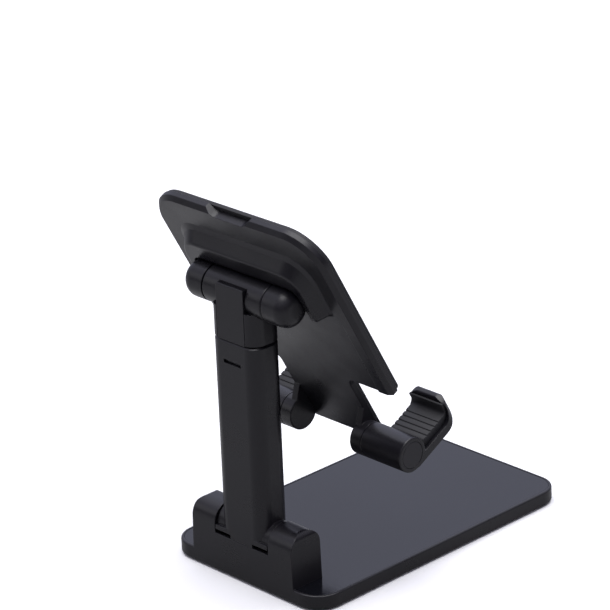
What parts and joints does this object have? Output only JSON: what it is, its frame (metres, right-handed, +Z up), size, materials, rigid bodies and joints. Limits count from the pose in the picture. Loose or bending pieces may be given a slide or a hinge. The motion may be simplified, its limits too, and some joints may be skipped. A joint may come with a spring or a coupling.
{
  "type": "phone stand",
  "caption": "Folding telescopic phone stand: weighted base, folding column that extends, leaning padded cradle with folding hooks.",
  "frame": {"origin": "centre of the base on the surface that it stands on", "axes": "+Z up; +X is the width; the user and the phone's screen face -Y, and the column stands at +Y"},
  "size_m": [0.071, 0.1084, 0.1208],
  "materials": {
    "base_plastic": "fine-textured black moulded plastic",
    "column_plastic": "fine-textured black moulded plastic",
    "cradle_plastic": "fine-textured black moulded plastic",
    "hook_plastic": "fine-textured black moulded plastic",
    "cap_plastic": "satin black plastic plugs",
    "top_plate": "polished black plate with a faint blue cast",
    "silicone": "soft black silicone",
    "foot_rubber": "ribbed black anti-slip rubber",
    "guide_plastic": "natural slippery guide plastic",
    "steel": "zinc-plated steel",
    "ballast_steel": "plain steel plate",
    "spring_steel": "blued spring steel",
    "stem_alloy": "brushed aluminium bar"
  },
  "bodies": {
    "base": {"base_shell": "base_plastic", "base_cover": "base_plastic", "base_ballast": "ballast_steel", "base_top_plate": "top_plate", "base_foot_pad": "foot_rubber", "base_screws": "steel", "column_hinge_bolt": "steel", "column_hinge_nut": "steel", "column_hinge_cap": "cap_plastic"},
    "column": {"column_tube": "column_plastic", "slide_guide": "guide_plastic", "column_hinge_washers": "spring_steel"},
    "extension": {"extension_stem": "stem_alloy", "stem_shoe": "guide_plastic", "stem_spring": "spring_steel", "column_head": "column_plastic", "head_key": "column_plastic", "head_screw": "steel", "cradle_hinge_washers": "spring_steel"},
    "cradle": {"cradle_plate": "cradle_plastic", "cradle_pad": "silicone", "cradle_hinge_bolt": "steel", "cradle_hinge_nut": "steel", "cradle_hinge_cap": "cap_plastic", "hook_pin_left": "steel", "hook_pin_right": "steel"},
    "hook_left": {"hook_left": "hook_plastic", "hook_pad_left": "silicone", "hook_cap_left": "cap_plastic", "hook_washer_left": "spring_steel"},
    "hook_right": {"hook_right": "hook_plastic", "hook_pad_right": "silicone", "hook_cap_right": "cap_plastic", "hook_washer_right": "spring_steel"}
  },
  "joints": [
    {"name": "column_fold", "type": "hinge", "parent": "base", "child": "column", "pos_m": [0, 0.04775, 0.0161], "axis": [1, 0, 0], "range_deg": [0, 35]},
    {"name": "extension_slide", "type": "slide", "parent": "column", "child": "extension", "axis": [0, 0, 1], "range_m": [0, 0.032]},
    {"name": "cradle_tilt", "type": "hinge", "parent": "extension", "child": "cradle", "pos_m": [0, 0.04775, 0.0935], "axis": [1, 0, 0], "range_deg": [-45, 28.5]},
    {"name": "hook_left_fold", "type": "hinge", "parent": "cradle", "child": "hook_left", "pos_m": [0, 0.01415, 0.03937], "axis": [-1, 0, 0], "range_deg": [0, 90]},
    {"name": "hook_right_fold", "type": "hinge", "parent": "cradle", "child": "hook_right", "pos_m": [0, 0.01415, 0.03937], "axis": [-1, 0, 0], "range_deg": [0, 90]}
  ]
}
